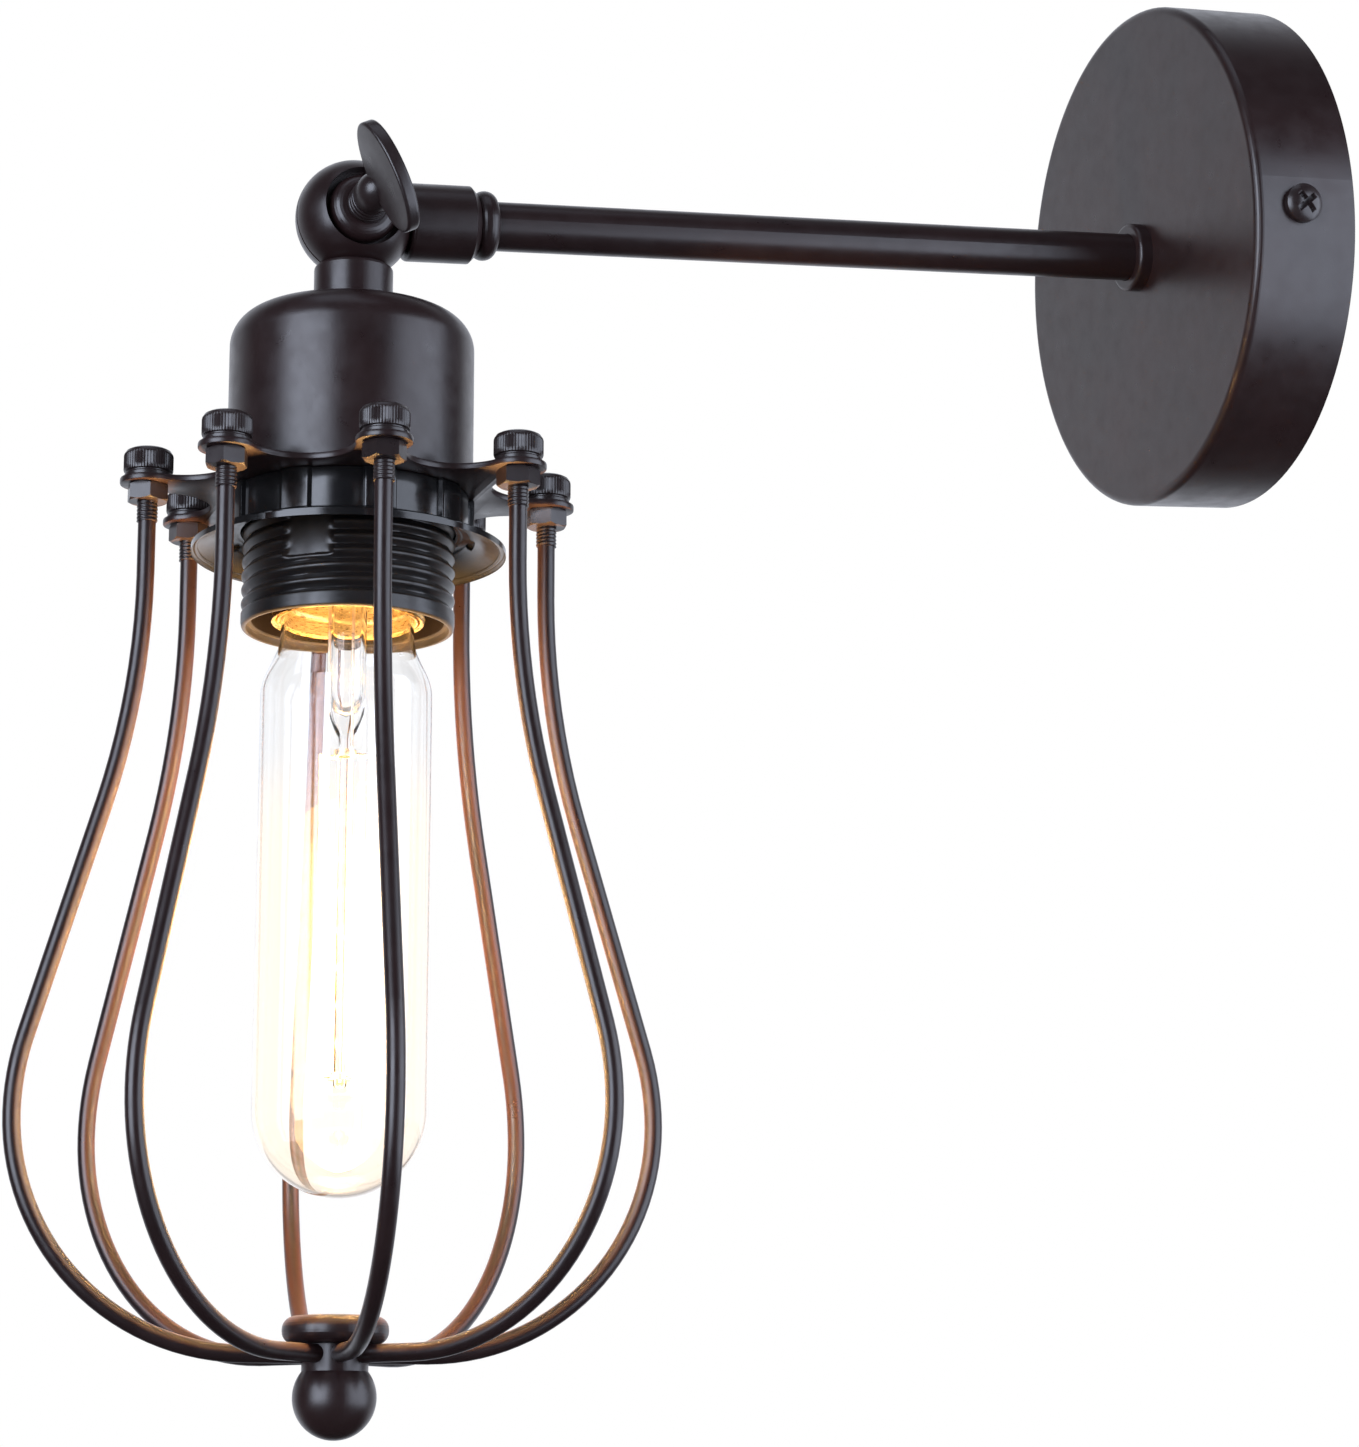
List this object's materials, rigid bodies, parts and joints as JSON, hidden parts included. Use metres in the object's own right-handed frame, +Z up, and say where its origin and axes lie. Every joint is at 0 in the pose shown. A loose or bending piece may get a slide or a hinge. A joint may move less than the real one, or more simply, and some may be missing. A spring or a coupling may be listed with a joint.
{
  "type": "wall lamp",
  "caption": "Wall lamp with a round canopy, a straight tube arm, a tilting ball knuckle with a wing screw, and a pear-shaped wire cage round a tubular bulb.",
  "frame": {"origin": "centre of the canopy's back on the wall plane, on the axis of the arm", "axes": "-Y out of the wall along the arm, +Z up, +X to the side of the wing screw"},
  "size_m": [0.1202, 0.2596, 0.2798],
  "materials": {
    "bronze": "satin",
    "bronze_nut": "satin",
    "zinc_steel": "satin",
    "green_screw": "satin",
    "brass": "satin",
    "shell_brass": "polished",
    "cap_brass": "satin",
    "white_plastic": "matt",
    "fibre": "matt",
    "bakelite": "gloss",
    "ceramic": "satin",
    "cap_glass": "gloss",
    "solder": "satin",
    "bulb_glass": "clear",
    "stem_glass": "clear",
    "support_wire": "satin",
    "filament": "glowing"
  },
  "bodies": {
    "base": {"canopy": "bronze", "wall_bracket": "zinc_steel", "canopy_screws": "bronze_nut", "earth_screw": "green_screw", "arm_collar": "bronze", "arm_lock_washer": "zinc_steel", "arm_lock_nut": "brass", "arm_tube": "bronze", "lead_bushing": "white_plastic", "arm_end_ring": "bronze", "knuckle_arm_half": "bronze", "friction_ring": "fibre"},
    "head": {"knuckle_head_half": "bronze", "cup_washer": "bronze", "socket_nipple": "zinc_steel", "nipple_nut": "brass", "socket_cup": "bronze", "holder_cap": "bakelite", "holder_insert": "ceramic", "terminal_screws": "brass", "centre_contact": "brass", "screw_shell": "shell_brass", "holder_skirt": "bakelite", "cage_plate": "bronze", "shade_ring": "bakelite", "cap_nuts": "bronze_nut", "hex_nuts": "bronze_nut", "cage_wire_1": "bronze", "cage_wire_2": "bronze", "cage_wire_3": "bronze", "cage_wire_4": "bronze", "cage_wire_5": "bronze", "cage_wire_6": "bronze", "cage_wire_7": "bronze", "cage_wire_8": "bronze", "cage_hub": "bronze", "ball_finial": "bronze"},
    "thumb_screw": {"thumb_screw": "bronze"},
    "bulb": {"bulb_cap": "cap_brass", "bulb_insulator": "cap_glass", "bulb_tip": "solder", "bulb_glass": "bulb_glass", "bulb_stem": "stem_glass", "filament_supports": "support_wire", "filament": "filament"}
  },
  "joints": [
    {"name": "head_tilt", "type": "hinge", "parent": "base", "child": "head", "pos_m": [0, -0.1878, 0], "axis": [1, 0, 0], "range_deg": [-189, 17]},
    {"name": "wing_turn", "type": "hinge", "parent": "base", "child": "thumb_screw", "pos_m": [0, -0.1878, 0], "axis": [1, 0, 0], "range_deg": [0, 180]},
    {"name": "bulb_turn", "type": "hinge", "parent": "head", "child": "bulb", "pos_m": [0, -0.1878, 0], "axis": [0, -0.068, -0.9977], "range_deg": [0, 360]}
  ]
}
